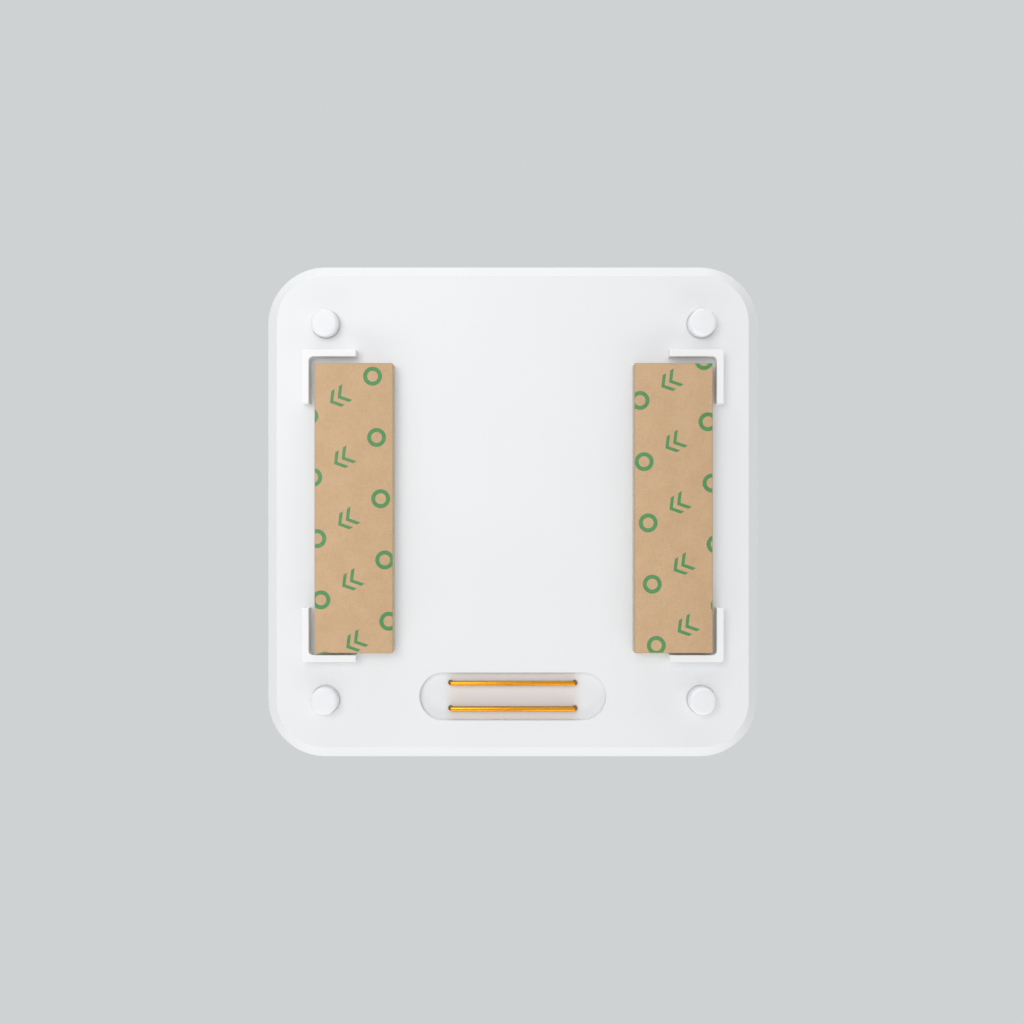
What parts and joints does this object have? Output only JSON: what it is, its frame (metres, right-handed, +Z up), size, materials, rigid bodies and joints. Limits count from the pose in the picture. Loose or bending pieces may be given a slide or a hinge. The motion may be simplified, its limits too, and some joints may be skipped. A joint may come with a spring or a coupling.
{
  "type": "water leak detector",
  "caption": "Rounded square floor sensor with a lift-off cover, test button, adhesive pads, feet and gold contact bars in an oblong recess underneath.",
  "frame": {"origin": "centre of the footprint, on the floor plane under the pads' liners", "axes": "+Z up out of the cover's top face, with the gold bars facing the floor; -Y towards the edge beside the gold bars (front); +X to the right seen from the front"},
  "size_m": [0.064, 0.064, 0.018],
  "materials": {
    "white_shell": "fine moulded texture, satin",
    "white_silicone": "soft satin",
    "seal_silicone": "soft matte",
    "pad_foam": "closed-cell foam, matte",
    "kraft_liner": "calendered kraft paper with a plain green print",
    "gold_plate": "bright gold plate",
    "board_laminate": "solder mask, semi-gloss",
    "screw_steel": "zinc plated",
    "holder_plastic": "moulded, matte",
    "nickel_strip": "nickel-plated spring strip",
    "black_plastic": "moulded, satin",
    "lamp_resin": "cast resin",
    "module_laminate": "solder mask, semi-gloss",
    "tinned_can": "tinned, pressed",
    "white_ceramic": "fired ceramic",
    "chip_epoxy": "moulded epoxy, matte",
    "capacitor_can": "drawn can and fired chips",
    "clear_pipe": "polished clear polycarbonate",
    "black_foam": "open-cell foam, matte",
    "vent_film": "stretched white film",
    "button_plastic": "satin",
    "plunger_plastic": "moulded, satin",
    "cell_sleeve": "printed shrink sleeve, gloss"
  },
  "bodies": {
    "base": {"base_shell": "white_shell", "cover_gasket": "seal_silicone", "front_left_foot": "white_silicone", "front_right_foot": "white_silicone", "rear_left_foot": "white_silicone", "rear_right_foot": "white_silicone", "left_adhesive_pad": "pad_foam", "right_adhesive_pad": "pad_foam", "left_release_liner": "kraft_liner", "right_release_liner": "kraft_liner", "rear_contact_bar": "gold_plate", "front_contact_bar": "gold_plate", "contact_seal": "seal_silicone", "circuit_board": "board_laminate", "board_screws": "screw_steel", "battery_holder": "holder_plastic", "positive_terminal": "nickel_strip", "negative_terminal": "nickel_strip", "bridge_contact": "nickel_strip", "switch_case": "black_plastic", "status_lamp": "lamp_resin", "sounder": "black_plastic", "radio_module": "module_laminate", "radio_shield": "tinned_can", "antenna": "white_ceramic", "processor": "chip_epoxy", "crystal": "tinned_can", "capacitors": "capacitor_can"},
    "cover": {"top_cover": "white_shell", "light_pipe": "clear_pipe", "sounder_gasket": "black_foam", "vent_membrane": "vent_film", "button_return_pad": "seal_silicone"},
    "button": {"button_cap": "button_plastic", "button_ring_seal": "seal_silicone", "button_clip": "nickel_strip"},
    "plunger": {"switch_plunger": "plunger_plastic"},
    "front_cell": {"front_cell": "cell_sleeve"},
    "rear_cell": {"rear_cell": "cell_sleeve"}
  },
  "joints": [
    {"name": "cover_lift", "type": "slide", "parent": "base", "child": "cover", "axis": [0, 0, 1], "range_m": [0, 0.04]},
    {"name": "button_press", "type": "slide", "parent": "cover", "child": "button", "axis": [0, 0, -1], "range_m": [0, 0.0005], "stiffness_N_per_m": 3000, "deforming": ["button_return_pad"]},
    {"name": "plunger_press", "type": "slide", "parent": "base", "child": "plunger", "axis": [0, 0, -1], "range_m": [0, 0.0003]},
    {"name": "front_cell_lift", "type": "slide", "parent": "base", "child": "front_cell", "axis": [0, 0, 1], "range_m": [0, 0.02]},
    {"name": "rear_cell_lift", "type": "slide", "parent": "base", "child": "rear_cell", "axis": [0, 0, 1], "range_m": [0, 0.02]}
  ],
  "couplings": [
    {"joint": "plunger_press", "follows": "button_press", "ratio": 0.6},
    {"joint": "front_cell_lift", "follows": "cover_lift", "ratio": 0.5},
    {"joint": "rear_cell_lift", "follows": "cover_lift", "ratio": 0.5}
  ]
}
